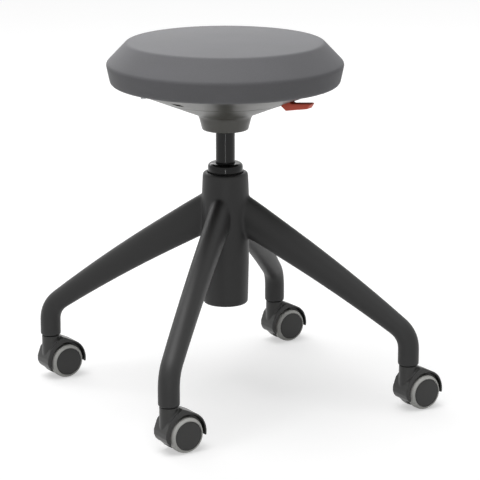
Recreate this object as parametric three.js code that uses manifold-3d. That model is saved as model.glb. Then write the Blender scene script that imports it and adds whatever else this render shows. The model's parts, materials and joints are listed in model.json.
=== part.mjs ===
// Wobble stool: a round foam seat on a rubber tilting joint, a gas column that sets its height,
// and a cast star base with four legs on twin-wheel castors.
// Millimetres, +Z up. The floor is z = 0 and the origin lies under the middle of the stool's outline.
import * as THREE from "three";
import { mergeVertices } from "three/addons/utils/BufferGeometryUtils.js";
import Module from "manifold-3d";

const wasm = await Module();
wasm.setup();

// Clearances
const fitGap = 0.3; // between pieces that touch, seat or slide
const pressGap = 0.4; // between the lever's nub and the valve button
const cutOverrun = 2; // how far a cut runs past the face that it opens
const weldDistance = 1e-3;

// Facets in a full turn, and steps in a rounded corner
const seatFacets = 48;
const shellFacets = 36;
const baseFacets = 28;
const legFacets = 14;
const wheelFacets = 24;
const shaftFacets = 12;
const screwFacets = 8;
const cornerSteps = 2;

// Castor wheels
const wheelRadius = 25.9;
const wheelSpan = 20.8; // from the castor's middle plane to the wheel's outer face
const wheelInset = 7.3; // from the middle plane to the wheel's inner face
const treadSpan = 16; // from the middle plane to the outer end of the flat tread
const capRadius = 21; // of the rim's round face, inside the tyre
const capDome = 0.8;
const tyreEdge = 0.8;
const tyreShoulder = 1.1; // how far the tyre bulges over the slope from its tread to its side
const axleRadius = 4;
const axleEndCover = 4; // of rim in front of the axle's end
const axleHeight = wheelRadius * Math.cos(Math.PI / wheelFacets);

// Castor hoods
const castorTrail = 19.25; // from the stem's axis back to the axle
const castorYaw = THREE.MathUtils.degToRad(3.3); // all four castors trail the same way
const castorRise = 41.3; // from the axle to the castor's top
const keelWidth = 14; // of hood between the wheels
const fenderGap = 2.9;
const fenderWall = 4;
const fenderEndAngle = THREE.MathUtils.degToRad(-9.8);
const fenderTopAngle = THREE.MathUtils.degToRad(57.6); // where the fender runs straight on to the neck
const hoodWidth = 35;
const hoodTailWidth = 29.4; // of the fender's end
const hoodTaperStart = 8; // behind the stem's axis
const hoodBevel = 1.5;
const hoodArcSteps = 8;
const hoodCrestDrop = 2.6; // from the castor's top to the crest behind the neck
const axleBossRadius = 8;
const neckRadius = 13.5;
const neckEdge = 1;
const skirtHeight = 15.5; // of the hood's lower edge in front of the wheels
const shoulderShares = [[0.1, 0.861], [-0.71, 0.687], [-1.08, 0.478], [-1.08, 0.373]];
const keelShares = [[-0.9, 0.287], [-0.31, 0.156], [0.44, 0.075]];
const stemRadius = 5.5;
const stemGrip = 18; // of stem inside the castor's neck
const stemReach = 28; // of stem inside the leg
const fenderInner = wheelRadius + fenderGap;
const fenderOuter = fenderInner + fenderWall;
const castorHeight = axleHeight + castorRise;

// Star base
const legCount = 4;
const firstLegAngle = Math.PI / legCount;
const stemCircle = 276.5; // radius on which the castor stems stand
const hubTop = 338;
const hubLength = 198;
const hubRadius = 34.5;
const hubEndRadius = 33;
const hubTaperTop = 35; // of hub that narrows towards each end
const hubTaperBottom = 63;
const hubShoulder = 4.5; // rounding of the hub's top edge
const hubFootRound = 4;
const hubLedge = 4; // bottom wall that the column tube stands on
const legRootDrop = 66.1; // from the hub's top to the leg's middle line
const legRootHeight = 55.2; // section of the leg where it leaves the hub
const legRootWidth = 33;
const legRootFlare = 1;
const legRootFlareLength = 14;
const legRootDepth = 8; // radius inside the hub where the leg begins
const legEndDiameter = 30.65;
const legEndEdge = 1;
const legDrop = 44.9; // from the corner of the leg's middle line to the leg's end
const legBend = 21; // tangent length of that corner
const legBow = 6.4;
const legBowReach = 98;
const legBowShare = 0.57;
const legBendSteps = 4;
const hubBottom = hubTop - hubLength;
const legEnd = castorHeight + fitGap;

// Column tube, its guide bush and the rod's bearing at its foot
const tubeRadius = 25;
const tubeWall = 1.5;
const tubeFloor = 3;
const tubeStandProud = 0.3; // of tube above the hub
const bushFlangeRadius = 25.7;
const bushFlangeSide = 6.5; // straight height of the bush's rim
const bushDome = 6.2; // height of its rounded top
const bushSleeveLength = 70;
const rodRadius = 5;
const rodShoulderRadius = 8;
const rodShoulderHeight = 2.5;
const rodTail = 4; // of rod below the tube's floor
const washerRadius = 18;
const washerThickness = 1.5;
const washerCount = 2;
const bearingRadius = 17;
const bearingHeight = 3;
const bumpStopHeight = 7.4;
const clipRadius = 9;
const clipThickness = 2;
const clipGroove = 0.5; // how deep the clip sits in the rod
const tubeBottom = hubBottom + hubLedge + fitGap;
const tubeTop = hubTop + tubeStandProud;
const bushBottom = tubeTop + fitGap;
const collarTop = bushBottom + bushFlangeSide + bushDome;
const tubeBore = tubeRadius - tubeWall;

// Gas cylinder
const liftShown = 49; // of cylinder between the collar and the seat's bell
const lowTravel = 40; // the seat can sink this far from where it stands
const highTravel = 80; // and rise this far
const cylinderRadius = 14;
const cylinderWall = 2;
const taperTopRadius = 13;
const taperLength = 48;
const cylinderCrown = 12; // solid end that holds the valve
const glandLength = 15;
const pistonLength = 10;
const pistonStandOff = 8; // between piston and gland at full height
const valveRadius = 4;
const valveShown = 5.5;
const valveDepth = 9;
const valveDome = 1;

// Under-seat shell: a cone that runs down into a bell round the cylinder
const shellWall = 2.5;
const bellRadius = 33;
const bellTopRadius = 37.5;
const bellHeight = 18;
const bellFootRound = 4;
const flareRadius = 48.7;
const flareRise = 9;
const flareRound = 5;
const bellShoulderRound = 6;
const shellRimGap = 0.8; // between the shell's rim and the pad's lip
const coneRise = 41.2;
const rimBand = 1; // upright edge of the shell's rim
const spareWindowAngle = THREE.MathUtils.degToRad(-152.5);
const spareWindowRadius = 107;
const spareWindowLength = 12;
const spareWindowWidth = 12;
const bellBottom = collarTop + liftShown;
const bellTop = bellBottom + bellHeight;
const flareTop = bellTop + flareRise;
const rimTop = flareTop + coneRise + rimBand;

// Seat board and pad
const boardThickness = 12;
const boardRadius = 154.3;
const lipDrop = 2; // of the pad's lip below the board
const padLipWidth = 10.2; // foot of the lip, outside the board
const padBulge = 7.1; // of the widest ring beyond the lip
const padBevelWidth = 29.7; // from the widest ring in to the top
const padThickness = 66.3; // lip to the middle of the top
const padWaistHeight = 30.4; // lip to the widest ring
const padCrown = 5.1;
const padFlatRadius = 45;
const padLipRound = 7.8;
const padWaistRound = 6.3;
const padTopRound = 3.5;
const lipBore = boardRadius + fitGap;
const padLipRadius = lipBore + padLipWidth;
const padRadius = padLipRadius + padBulge;
const padTopRadius = padRadius - padBevelWidth;
const shellRimRadius = lipBore - shellRimGap;
const coneSlope = coneRise / (shellRimRadius - flareRadius);
const boardBottom = rimTop + fitGap;
const boardTop = boardBottom + boardThickness;
const lipBottom = boardBottom - lipDrop;
const padTop = lipBottom + padThickness;

// Tilting joint: dished plate, rubber ring and tapered socket
const plateThickness = 3;
const plateRadius = 75;
const dishDepth = 16;
const dishRadius = 46;
const dishFlare = 4;
const dishHole = 20;
const rubberHeight = 12;
const rubberRadius = 39;
const rubberHole = 22;
const rubberWaist = 2;
const rubberWaistRound = 3;
const socketFlangeRadius = 40;
const socketFlange = 5;
const socketSleeve = 28;
const socketWall = 6;
const plateTop = boardBottom - fitGap;
const plateUnderside = plateTop - plateThickness;
const dishFloor = plateTop - dishDepth;
const rubberTop = dishFloor - plateThickness - fitGap;
const rubberBottom = rubberTop - rubberHeight;
const socketTop = rubberBottom - fitGap;
const socketBottom = socketTop - socketFlange - socketSleeve;
const cylinderTop = dishFloor - plateThickness;
const bearingStack = washerCount * (washerThickness + fitGap) + bearingHeight + fitGap;
const cylinderBottomAtLowest = tubeBottom + tubeFloor + fitGap + bearingStack
  + rodShoulderHeight + bumpStopHeight + fitGap;
const cylinderBottom = cylinderBottomAtLowest + lowTravel;
const glandTop = cylinderBottom + glandLength;
const pistonBottom = glandTop + highTravel + pistonStandOff;

// Screws
const plateScrewCount = 4;
const plateScrewCircle = 64;
const plateScrewRadius = 3;
const plateScrewHead = 5.5;
const plateScrewHeadHeight = 3.5;
const plateScrewBite = 9; // into the board
const shellScrewCount = 3;
const shellScrewInset = 6.6; // from the shell's rim
const shellScrewTurn = THREE.MathUtils.degToRad(10); // of the first one from the lever
const shellScrewRadius = 2;
const shellScrewHead = 3.6;
const shellScrewHeadHeight = 1.6;
const shellScrewBite = 9;
const shellScrewCircle = shellRimRadius - shellScrewInset;

// Height lever
const leverAngle = THREE.MathUtils.degToRad(-60);
const leverPivotRadius = 64;
const leverArmThickness = 3;
const leverArmWidth = 10;
const leverEyeRadius = 4;
const leverEyeWidth = 11;
const leverNubRadius = 3; // of the stud that presses the valve
const leverNubRound = 1.4;
const leverPinRadius = 2;
const leverDrop = 10.2; // from the plate's top to the lever's pin
const leverShoulderRadius = 84; // where the arm turns down to its window
const leverKneeRadius = 106; // where it turns out again inside the paddle
const leverShoulderDrop = 1;
const leverEndRadius = 126;
const paddleInnerRadius = 95.2;
const paddleLength = 50.8;
const paddleHeight = 15.2;
const paddleWidth = 14;
const paddleBevel = 1;
const paddleGap = 2; // below the shell's cone
const paddleTipShare = 0.38; // height of the inner tip
const paddleShares = [[0, paddleTipShare], [0.13, 0], [0.86, 0.37], [1, 0.9], [0.97, 0.99], [0.4, 0.82], [0.34, 1]];
const leverKneeShare = 0.56; // height of the arm in the paddle
const bracketWall = 2;
const bracketLength = 12;
const bracketDrop = 11; // from the plate's underside to the ears' ends
const leverWindowRadius = 95;
const leverWindowLength = 25;
const leverWindowWidth = 34;
const leverPivotHeight = plateTop - leverDrop;
const valveTop = cylinderTop + valveShown;
const paddleBottom = coneHeight(paddleInnerRadius) - paddleGap - paddleTipShare * paddleHeight;
const leverKneeHeight = paddleBottom + paddleHeight * leverKneeShare;

// The column's axis stands aside from the origin, because the castors reach further where they trail
const columnX = -(castorTrail + wheelRadius - legEndDiameter / 2) / 2;

const satinBlack = new THREE.MeshStandardMaterial({ color: "#2e2e2e", roughness: 0.45, metalness: 0.2 });
const glossBlack = new THREE.MeshStandardMaterial({ color: "#171717", roughness: 0.15, metalness: 0 });
const blackSteel = new THREE.MeshStandardMaterial({ color: "#303030", roughness: 0.3, metalness: 0.5 });
const brightSteel = new THREE.MeshStandardMaterial({ color: "#b9bbbd", roughness: 0.3, metalness: 1 });
const darkRubber = new THREE.MeshStandardMaterial({ color: "#1c1c1c", roughness: 0.85, metalness: 0 });
const greyFoam = new THREE.MeshStandardMaterial({ color: "#5c5c5e", roughness: 0.8, metalness: 0 });
const greyPlastic = new THREE.MeshStandardMaterial({ color: "#6f6f6c", roughness: 0.45, metalness: 0 });
const darkPlastic = new THREE.MeshStandardMaterial({ color: "#3a3a3a", roughness: 0.55, metalness: 0 });
const greyTyre = new THREE.MeshStandardMaterial({ color: "#8c8c88", roughness: 0.7, metalness: 0 });
const redPlastic = new THREE.MeshStandardMaterial({ color: "#c0533f", roughness: 0.5, metalness: 0 });
const plywood = new THREE.MeshStandardMaterial({ color: "#c8a878", roughness: 0.7, metalness: 0 });

// Height of the cone's outer surface at a radius
function coneHeight(radius) {
  return flareTop + (radius - flareRadius) * coneSlope;
}

// Points of an outline whose corners are [across, up] or [across, up, rounding]
function roundedPoints(corners, steps = cornerSteps) {
  const path = new THREE.Path();
  const vectors = corners.map(([across, up]) => new THREE.Vector2(across, up));
  path.moveTo(vectors[0].x, vectors[0].y);
  for (let i = 1; i < corners.length; i++) {
    const rounding = corners[i][2];
    const here = vectors[i];
    if (!rounding) {
      path.lineTo(here.x, here.y);
      continue;
    }
    const before = here.clone().lerp(vectors[i - 1], rounding / here.distanceTo(vectors[i - 1]));
    const after = here.clone().lerp(vectors[i + 1], rounding / here.distanceTo(vectors[i + 1]));
    path.lineTo(before.x, before.y);
    path.quadraticCurveTo(here.x, here.y, after.x, after.y);
  }
  return path.getPoints(steps);
}

// Shared corners become one vertex, unless a boolean made the geometry and they are shared already
function weld(geometry) {
  if (geometry.userData.welded) return geometry;
  const bare = geometry.clone();
  bare.deleteAttribute("normal");
  bare.deleteAttribute("uv");
  return mergeVertices(bare, weldDistance);
}

function toSolid(geometry) {
  const merged = weld(geometry);
  const corners = merged.index.array;
  const triangles = [];
  for (let i = 0; i < corners.length; i += 3) {
    const [a, b, c] = corners.slice(i, i + 3);
    if (a !== b && b !== c && c !== a) triangles.push(a, b, c);
  }
  return new wasm.Manifold(new wasm.Mesh({
    numProp: 3,
    vertProperties: merged.attributes.position.array,
    triVerts: new Uint32Array(triangles),
  }));
}

function toGeometry(solid) {
  const { vertProperties, triVerts, numProp } = solid.getMesh();
  const positions = new Float32Array((vertProperties.length / numProp) * 3);
  for (let i = 0; i < positions.length / 3; i++) {
    positions.set(vertProperties.subarray(i * numProp, i * numProp + 3), i * 3);
  }
  const geometry = new THREE.BufferGeometry();
  geometry.setAttribute("position", new THREE.BufferAttribute(positions, 3));
  geometry.setIndex(new THREE.BufferAttribute(new Uint32Array(triVerts), 1));
  geometry.computeVertexNormals();
  geometry.userData.welded = true;
  return geometry;
}

function join(...geometries) {
  return toGeometry(geometries.map(toSolid).reduce((whole, next) => whole.add(next)));
}

function cut(geometry, ...tools) {
  return toGeometry(tools.map(toSolid).reduce((rest, tool) => rest.subtract(tool), toSolid(geometry)));
}

// A closed outline of [radius, height] corners, turned about +Z. It runs anticlockwise.
function turned(corners, facets, steps = cornerSteps) {
  const points = roundedPoints([...corners, corners[0].slice(0, 2)], steps);
  return new THREE.LatheGeometry(points, facets).rotateX(Math.PI / 2);
}

function disc(radius, bottom, top, facets = shaftFacets) {
  return turned([[0, bottom], [radius, bottom], [radius, top], [0, top]], facets);
}

function ring(bore, radius, bottom, top, facets = shaftFacets) {
  return turned([[bore, bottom], [radius, bottom], [radius, top], [bore, top]], facets);
}

function block(length, width, height, x, y, z) {
  return new THREE.BoxGeometry(length, width, height).translate(x, y, z);
}

// An outline of [forward, up] points, drawn upright and thickened evenly to both sides of y = 0
function upright(shape, width, bevel, curveSegments) {
  const geometry = new THREE.ExtrudeGeometry(shape, {
    depth: width - 2 * bevel,
    bevelEnabled: bevel > 0,
    bevelSize: bevel,
    bevelOffset: -bevel,
    bevelThickness: bevel,
    bevelSegments: 1,
    curveSegments,
  });
  return geometry.translate(0, 0, bevel - width / 2).rotateX(Math.PI / 2);
}

function addPiece(parent, name, geometry, material) {
  const mesh = new THREE.Mesh(toGeometry(toSolid(geometry)), material);
  mesh.name = name;
  parent.add(mesh);
}

// A group turned about +Z
function turnedGroup(parent, angle, x = 0, y = 0) {
  const group = new THREE.Group();
  group.position.set(x, y, 0);
  group.rotation.z = angle;
  parent.add(group);
  return group;
}

// Rings of points about a middle line in the plane y = 0, skinned and capped
function loft(stations, facets) {
  const positions = [];
  const triangles = [];
  for (const { centre, up, halfHeight, halfWidth } of stations) {
    for (let k = 0; k < facets; k++) {
      const turn = (2 * Math.PI * k) / facets;
      const rise = Math.cos(turn) * halfHeight;
      positions.push(centre.x + up.x * rise, Math.sin(turn) * halfWidth, centre.y + up.y * rise);
    }
  }
  const ringStart = (i) => i * facets;
  for (let i = 0; i + 1 < stations.length; i++) {
    for (let k = 0; k < facets; k++) {
      const a = ringStart(i) + k;
      const b = ringStart(i) + ((k + 1) % facets);
      const c = ringStart(i + 1) + k;
      const d = ringStart(i + 1) + ((k + 1) % facets);
      triangles.push(a, c, b, b, c, d);
    }
  }
  const last = ringStart(stations.length - 1);
  for (let k = 1; k + 1 < facets; k++) {
    triangles.push(0, k, k + 1, last, last + k + 1, last + k);
  }
  const geometry = new THREE.BufferGeometry();
  geometry.setAttribute("position", new THREE.Float32BufferAttribute(positions, 3));
  geometry.setIndex(triangles);
  return geometry;
}

// One leg along +X: a tapering oval that bows slightly, then bends down to its castor
function legGeometry() {
  const root = new THREE.Vector2(hubRadius, hubTop - legRootDrop);
  const corner = new THREE.Vector2(stemCircle, legEnd + legDrop);
  const along = corner.clone().sub(root).normalize();
  const up = new THREE.Vector2(-along.y, along.x);
  const bow = root.clone().lerp(corner, legBowShare).addScaledVector(up, legBow);
  const start = root.clone().addScaledVector(along, (legRootDepth - hubRadius) / along.x);
  const flareEnd = root.clone().addScaledVector(along, legRootFlareLength);
  const line = roundedPoints([
    [start.x, start.y],
    [root.x, root.y],
    [flareEnd.x, flareEnd.y],
    [bow.x, bow.y, legBowReach],
    [corner.x, corner.y, legBend],
    [stemCircle, legEnd + legEndEdge],
    [stemCircle, legEnd],
  ], legBendSteps);
  const straight = root.distanceTo(corner) - legBend;
  const stations = line.map((centre, i) => {
    const ahead = line[Math.min(i + 1, line.length - 1)];
    const behind = line[Math.max(i - 1, 0)];
    const tangent = ahead.clone().sub(behind).normalize();
    const share = THREE.MathUtils.clamp(centre.distanceTo(root) / straight, 0, 1);
    const flare = i < 2 ? legRootFlare : 0;
    const edge = i === line.length - 1 ? legEndEdge : 0;
    return {
      centre,
      up: new THREE.Vector2(-tangent.y, tangent.x),
      halfHeight: THREE.MathUtils.lerp(legRootHeight, legEndDiameter, share) / 2 + flare - edge,
      halfWidth: THREE.MathUtils.lerp(legRootWidth, legEndDiameter, share) / 2 + flare - edge,
    };
  });
  return loft(stations, legFacets);
}

function legAngle(index) {
  return firstLegAngle + (2 * Math.PI * index) / legCount;
}

function buildStarBase(parent) {
  const hub = turned([
    [0, hubBottom],
    [hubEndRadius, hubBottom, hubFootRound],
    [hubRadius, hubBottom + hubTaperBottom],
    [hubRadius, hubTop - hubTaperTop],
    [hubEndRadius, hubTop, hubShoulder],
    [0, hubTop],
  ], baseFacets);
  const legs = [];
  const cuts = [
    disc(tubeRadius + fitGap, hubBottom + hubLedge, hubTop + cutOverrun, baseFacets),
    disc(tubeBore, hubBottom - cutOverrun, hubBottom + hubLedge + cutOverrun, baseFacets),
  ];
  for (let i = 0; i < legCount; i++) {
    legs.push(legGeometry().rotateZ(legAngle(i)));
    const socket = disc(stemRadius + fitGap, legEnd - cutOverrun, legEnd + stemReach + fitGap);
    cuts.push(socket.translate(stemCircle, 0, 0).rotateZ(legAngle(i)));
  }
  addPiece(parent, "star_base", cut(join(hub, ...legs), ...cuts), satinBlack);
}

// The tube stands in the hub; its bush guides the cylinder and caps the tube with a domed collar
function buildColumnTube(parent) {
  const floorHole = rodRadius + fitGap;
  addPiece(parent, "column_tube", turned([
    [floorHole, tubeBottom],
    [tubeRadius, tubeBottom],
    [tubeRadius, tubeTop],
    [tubeBore, tubeTop],
    [tubeBore, tubeBottom + tubeFloor],
    [floorHole, tubeBottom + tubeFloor],
  ], baseFacets), blackSteel);
  const bushBore = cylinderRadius + fitGap;
  addPiece(parent, "guide_bush", turned([
    [bushBore, bushBottom - bushSleeveLength],
    [tubeBore - fitGap, bushBottom - bushSleeveLength],
    [tubeBore - fitGap, bushBottom],
    [bushFlangeRadius, bushBottom],
    [bushFlangeRadius, collarTop, bushDome],
    [bushBore, collarTop],
  ], baseFacets, 4), glossBlack);
}

// Washers and ball cage on the tube's floor carry the rod, which carries the cylinder on its gas
function buildRod(parent) {
  const bore = rodRadius + fitGap;
  let level = tubeBottom + tubeFloor + fitGap;
  const stack = (name, radius, height, material) => {
    addPiece(parent, name, ring(bore, radius, level, level + height), material);
    level += height + fitGap;
  };
  stack("lower_washer", washerRadius, washerThickness, brightSteel);
  stack("thrust_bearing", bearingRadius, bearingHeight, brightSteel);
  stack("upper_washer", washerRadius, washerThickness, brightSteel);
  const shoulderTop = level + rodShoulderHeight;
  const rodTop = pistonBottom + pistonLength;
  const clipTop = tubeBottom - fitGap;
  const clipBottom = clipTop - clipThickness;
  const neck = rodRadius - clipGroove;
  addPiece(parent, "piston_rod", turned([
    [0, tubeBottom - rodTail],
    [rodRadius, tubeBottom - rodTail],
    [rodRadius, clipBottom - fitGap],
    [neck, clipBottom - fitGap],
    [neck, clipTop + fitGap],
    [rodRadius, clipTop + fitGap],
    [rodRadius, level],
    [rodShoulderRadius, level],
    [rodShoulderRadius, shoulderTop],
    [rodRadius, shoulderTop],
    [rodRadius, rodTop],
    [0, rodTop],
  ], shaftFacets), brightSteel);
  addPiece(parent, "rod_clip", ring(neck + fitGap, clipRadius, clipBottom, clipTop), brightSteel);
  const bumpBottom = shoulderTop + fitGap;
  addPiece(parent, "bump_stop",
    ring(bore, washerRadius, bumpBottom, bumpBottom + bumpStopHeight - fitGap), darkRubber);
  addPiece(parent, "piston_head",
    ring(bore, cylinderRadius - cylinderWall - fitGap, pistonBottom, rodTop), darkPlastic);
}

// The cylinder is open at its foot, where a gland lets the rod in, and solid round the valve at its head
function buildCylinder(parent) {
  const bore = cylinderRadius - cylinderWall;
  const valveBore = valveRadius + fitGap;
  const taperStart = cylinderTop - taperLength;
  addPiece(parent, "gas_cylinder", turned([
    [bore, cylinderBottom],
    [cylinderRadius, cylinderBottom],
    [cylinderRadius, taperStart],
    [taperTopRadius, cylinderTop],
    [valveBore, cylinderTop],
    [valveBore, cylinderTop - cylinderCrown],
    [bore, cylinderTop - cylinderCrown],
  ], baseFacets), blackSteel);
  addPiece(parent, "cylinder_gland",
    ring(rodRadius + fitGap, bore - fitGap, cylinderBottom, glandTop), darkPlastic);
  addPiece(parent, "valve_button", turned([
    [0, cylinderTop - valveDepth],
    [valveRadius, cylinderTop - valveDepth],
    [valveRadius, valveTop, valveDome],
    [0, valveTop],
  ], shaftFacets, 2), brightSteel);
  const flangeBottom = socketTop - socketFlange;
  const taperAt = (height) => cylinderRadius + fitGap
    - (cylinderRadius - taperTopRadius) * Math.max(0, (height - taperStart) / taperLength);
  addPiece(parent, "taper_socket", turned([
    [taperAt(socketBottom), socketBottom],
    [cylinderRadius + socketWall, socketBottom],
    [cylinderRadius + socketWall, flangeBottom],
    [socketFlangeRadius, flangeBottom],
    [socketFlangeRadius, socketTop],
    [taperAt(socketTop), socketTop],
  ], baseFacets), blackSteel);
}

// The rubber ring lets the seat tilt every way on the socket's flange
function buildRubberRing(parent) {
  const middle = (rubberTop + rubberBottom) / 2;
  addPiece(parent, "rubber_ring", turned([
    [rubberHole, rubberBottom],
    [rubberRadius, rubberBottom],
    [rubberRadius - rubberWaist, middle, rubberWaistRound],
    [rubberRadius, rubberTop],
    [rubberHole, rubberTop],
  ], baseFacets, 2), darkRubber);
}

function screwPlaces(count, circle, first) {
  return Array.from({ length: count }, (_, i) => {
    const angle = first + (2 * Math.PI * i) / count;
    return new THREE.Vector2(Math.cos(angle) * circle, Math.sin(angle) * circle);
  });
}

const plateScrewPlaces = screwPlaces(plateScrewCount, plateScrewCircle, leverAngle + Math.PI / plateScrewCount);
const shellScrewPlaces = screwPlaces(shellScrewCount, shellScrewCircle, leverAngle + shellScrewTurn);

function holes(places, radius, bottom, top) {
  return places.map(({ x, y }) => disc(radius, bottom, top, screwFacets).translate(x, y, 0));
}

function buildTopPlate(parent) {
  const dishUnderside = dishFloor - plateThickness;
  const plate = turned([
    [dishHole, dishUnderside],
    [dishRadius, dishUnderside],
    [dishRadius + dishFlare, plateUnderside],
    [plateRadius, plateUnderside],
    [plateRadius, plateTop],
    [dishRadius + dishFlare - plateThickness, plateTop],
    [dishRadius - plateThickness, dishFloor],
    [dishHole, dishFloor],
  ], baseFacets);
  const slotHeight = plateUnderside - dishFloor - fitGap;
  const slot = block(
    dishFlare + 2 * plateThickness + 2 * cutOverrun, leverArmWidth + 2 * cutOverrun, slotHeight,
    dishRadius, 0, dishFloor + fitGap + slotHeight / 2,
  ).rotateZ(leverAngle);
  const drilled = holes(plateScrewPlaces, plateScrewRadius + fitGap,
    plateUnderside - cutOverrun, plateTop + cutOverrun);
  addPiece(parent, "top_plate", cut(plate, slot, ...drilled), blackSteel);
}

// The shell's inner outline lies one wall inside its outer one
function buildShell(parent) {
  const rise = shellWall * Math.hypot(1, coneSlope);
  const shell = turned([
    [bellRadius - shellWall, bellBottom],
    [bellRadius, bellBottom, bellFootRound / 2],
    [bellTopRadius, bellTop, bellShoulderRound],
    [flareRadius, flareTop, flareRound],
    [shellRimRadius, rimTop - rimBand],
    [shellRimRadius, rimTop],
    [shellRimRadius - shellWall, rimTop],
    [flareRadius - shellWall / 2, flareTop + rise, flareRound],
    [bellTopRadius - shellWall, bellTop + shellWall / 2, bellShoulderRound],
  ], shellFacets);
  const window = (angle, radius, length, width) => block(
    length, width, coneRise, radius + length / 2, 0, coneHeight(radius + length / 2),
  ).rotateZ(angle);
  const seats = holes(shellScrewPlaces, shellScrewRadius + fitGap,
    coneHeight(shellScrewCircle) - cutOverrun - shellWall, rimTop + cutOverrun);
  addPiece(parent, "under_shell", cut(
    shell,
    window(leverAngle, leverWindowRadius, leverWindowLength, leverWindowWidth),
    window(spareWindowAngle, spareWindowRadius, spareWindowLength, spareWindowWidth),
    ...seats,
  ), greyPlastic);
}

function buildSeat(parent) {
  const board = disc(boardRadius, boardBottom, boardTop, seatFacets);
  addPiece(parent, "seat_board", cut(
    board,
    ...holes(plateScrewPlaces, plateScrewRadius + fitGap,
      boardBottom - cutOverrun, boardBottom + plateScrewBite + fitGap),
    ...holes(shellScrewPlaces, shellScrewRadius + fitGap,
      boardBottom - cutOverrun, boardBottom + shellScrewBite + fitGap),
  ), plywood);
  const crownCorner = padTopRadius / 2;
  addPiece(parent, "seat_pad", turned([
    [0, boardTop + fitGap],
    [lipBore, boardTop + fitGap],
    [lipBore, lipBottom],
    [padLipRadius, lipBottom, padLipRound],
    [padRadius, lipBottom + padWaistHeight, padWaistRound],
    [padTopRadius, padTop - padCrown, padTopRound],
    [crownCorner, padTop, crownCorner - padFlatRadius],
    [0, padTop],
  ], seatFacets, 3), greyFoam);
}

// A screw from below: its head under the named height, its shank up into the board
function addScrews(parent, name, places, radius, head, headHeight, seat, tip) {
  places.forEach(({ x, y }, i) => {
    const screw = turned([
      [0, seat - headHeight],
      [head, seat - headHeight],
      [head, seat],
      [radius, seat],
      [radius, tip],
      [0, tip],
    ], screwFacets);
    addPiece(parent, `${name}_${i + 1}`, screw.translate(x, y, 0), brightSteel);
  });
}

// A strip along +X that follows [forward, up] points at an even thickness
function strip(points, thickness, width) {
  const line = points.map(([x, z]) => new THREE.Vector2(x, z));
  const offset = (side) => line.map((point, i) => {
    const ahead = line[Math.min(i + 1, line.length - 1)];
    const behind = line[Math.max(i - 1, 0)];
    const along = ahead.clone().sub(behind).normalize();
    return point.clone().add(new THREE.Vector2(-along.y, along.x).multiplyScalar((side * thickness) / 2));
  });
  return upright(new THREE.Shape([...offset(-1), ...offset(1).reverse()]), width, 0);
}

function acrossDisc(radius, width, x, z, facets = shaftFacets) {
  return disc(radius, -width / 2, width / 2, facets).rotateX(Math.PI / 2).translate(x, 0, z);
}

// The arm's nub presses the valve when a hand lifts the paddle outside the shell
function buildLever(parent) {
  const lever = turnedGroup(parent, leverAngle);
  const route = [
    [-leverArmThickness, leverPivotHeight],
    [leverPivotRadius, leverPivotHeight],
    [leverShoulderRadius, leverPivotHeight - leverShoulderDrop],
    [leverKneeRadius, leverKneeHeight],
    [leverEndRadius, leverKneeHeight],
  ];
  const nubBottom = valveTop + pressGap;
  const nub = turned([
    [0, nubBottom],
    [leverNubRadius, nubBottom, leverNubRound],
    [leverNubRadius, leverPivotHeight],
    [0, leverPivotHeight],
  ], screwFacets, 2);
  const arm = join(
    strip(route, leverArmThickness, leverArmWidth),
    acrossDisc(leverEyeRadius, leverEyeWidth, leverPivotRadius, leverPivotHeight),
    nub,
  );
  const pinBore = acrossDisc(leverPinRadius + fitGap, leverEyeWidth + 2 * cutOverrun,
    leverPivotRadius, leverPivotHeight);
  addPiece(lever, "lever_arm", cut(arm, pinBore), brightSteel);

  const outline = paddleShares.map(([along, up]) => new THREE.Vector2(
    paddleInnerRadius + paddleLength * along, paddleBottom + paddleHeight * up));
  const paddle = upright(new THREE.Shape(outline), paddleWidth, paddleBevel);
  const socketRoute = route.slice(2, -1).concat([[leverEndRadius + fitGap, leverKneeHeight]]);
  const socket = strip(socketRoute, leverArmThickness + 2 * fitGap, leverArmWidth + 2 * fitGap);
  addPiece(lever, "lever_paddle", cut(paddle, socket), redPlastic);

  const inner = leverEyeWidth + 2 * fitGap;
  const outer = inner + 2 * bracketWall;
  const bracketTop = plateUnderside - fitGap;
  const bracket = block(bracketLength, outer, bracketDrop, leverPivotRadius, 0, bracketTop - bracketDrop / 2);
  const throat = block(
    bracketLength + 2 * cutOverrun, inner, bracketDrop,
    leverPivotRadius, 0, bracketTop - bracketWall - bracketDrop / 2,
  );
  const earBore = acrossDisc(leverPinRadius + fitGap, outer + 2 * cutOverrun,
    leverPivotRadius, leverPivotHeight);
  addPiece(lever, "lever_bracket", cut(bracket, throat, earBore), blackSteel);
  addPiece(lever, "lever_pin",
    acrossDisc(leverPinRadius, outer + 2 * bracketWall, leverPivotRadius, leverPivotHeight), brightSteel);
}

// A castor's side outline: axle boss, fender, crest, sloped shoulder and the keel between the wheels
function hoodShape() {
  const shape = new THREE.Shape();
  shape.moveTo(castorTrail, axleHeight - axleBossRadius);
  shape.absarc(castorTrail, axleHeight, axleBossRadius, -Math.PI / 2, fenderEndAngle, false);
  shape.absarc(castorTrail, axleHeight, fenderOuter, fenderEndAngle, fenderTopAngle, false);
  shape.lineTo(neckRadius, castorHeight - hoodCrestDrop);
  for (const [forward, up] of [...shoulderShares, ...keelShares]) {
    shape.lineTo(forward * neckRadius, up * castorHeight);
  }
  return shape;
}

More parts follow.
